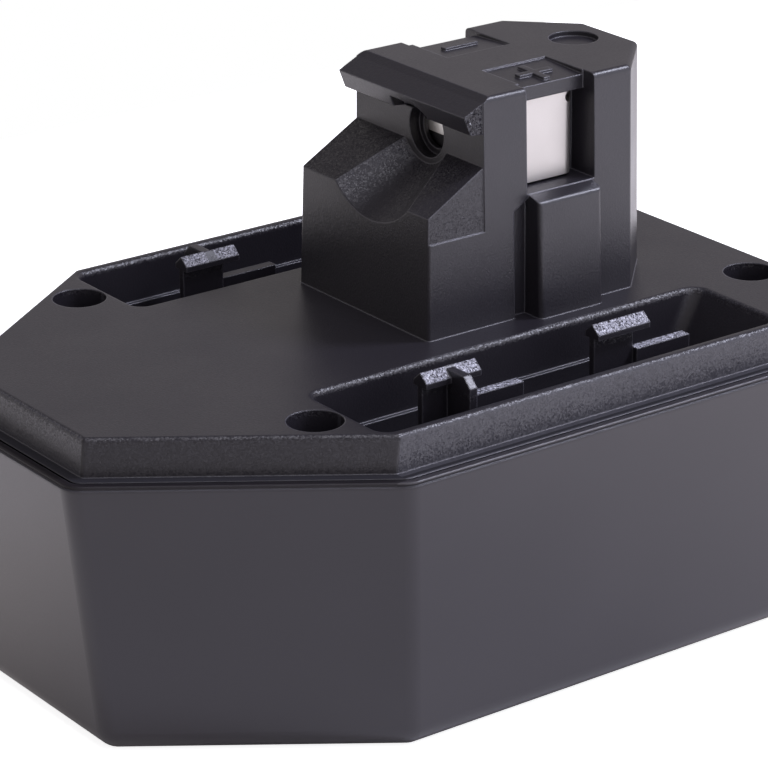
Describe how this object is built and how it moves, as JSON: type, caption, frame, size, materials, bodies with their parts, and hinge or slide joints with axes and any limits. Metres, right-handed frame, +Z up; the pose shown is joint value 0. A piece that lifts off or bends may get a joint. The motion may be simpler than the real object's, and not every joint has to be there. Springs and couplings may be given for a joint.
{
  "type": "battery pack",
  "caption": "Stem-type rechargeable tool battery pack with side latch pockets and spring contacts in the stem.",
  "frame": {"origin": "middle of the bounding box at the resting face of the lower case", "axes": "+Z up along the stem, +X towards the positive contact, -Y towards the stem's ramped front"},
  "size_m": [0.0988, 0.139, 0.0875],
  "materials": {
    "cover_black": "fine-grained moulded black, glass-filled",
    "case_black": "smooth satin moulded black",
    "screw_steel": "black zinc",
    "carrier_black": "moulded black",
    "nickel": "nickel plate over spring sheet",
    "nickel_strip": "plain nickel strip",
    "wire_black": "insulated lead",
    "bead_black": "dipped resin",
    "card": "pressed insulating card",
    "foam": "closed-cell foam",
    "can_steel": "nickel-plated steel can",
    "sleeve_card": "wound paper sleeve"
  },
  "bodies": {
    "root": {"lower_case": "case_black", "upper_cover": "cover_black", "case_screws": "screw_steel", "contact_carrier": "carrier_black", "positive_contact": "nickel", "negative_contact": "nickel", "sensor_contact": "nickel", "positive_lead": "nickel_strip", "negative_lead": "nickel_strip", "sensor_wire": "wire_black", "thermistor": "bead_black", "thermal_cutout": "bead_black", "top_insulator": "card", "bottom_insulator": "card", "foam_block": "foam", "top_links": "nickel_strip", "bottom_links": "nickel_strip", "cell_01": "can_steel", "cell_sleeve_01": "sleeve_card", "cell_02": "can_steel", "cell_sleeve_02": "sleeve_card", "cell_03": "can_steel", "cell_sleeve_03": "sleeve_card", "cell_04": "can_steel", "cell_sleeve_04": "sleeve_card", "cell_05": "can_steel", "cell_sleeve_05": "sleeve_card", "cell_06": "can_steel", "cell_sleeve_06": "sleeve_card", "cell_07": "can_steel", "cell_sleeve_07": "sleeve_card", "cell_08": "can_steel", "cell_sleeve_08": "sleeve_card", "cell_09": "can_steel", "cell_sleeve_09": "sleeve_card", "cell_10": "can_steel", "cell_sleeve_10": "sleeve_card", "cell_11": "can_steel", "cell_sleeve_11": "sleeve_card", "cell_12": "can_steel", "cell_sleeve_12": "sleeve_card", "cell_13": "can_steel", "cell_sleeve_13": "sleeve_card", "cell_14": "can_steel", "cell_sleeve_14": "sleeve_card", "cell_15": "can_steel", "cell_sleeve_15": "sleeve_card", "cell_16": "can_steel", "cell_sleeve_16": "sleeve_card"}
  },
  "joints": []
}
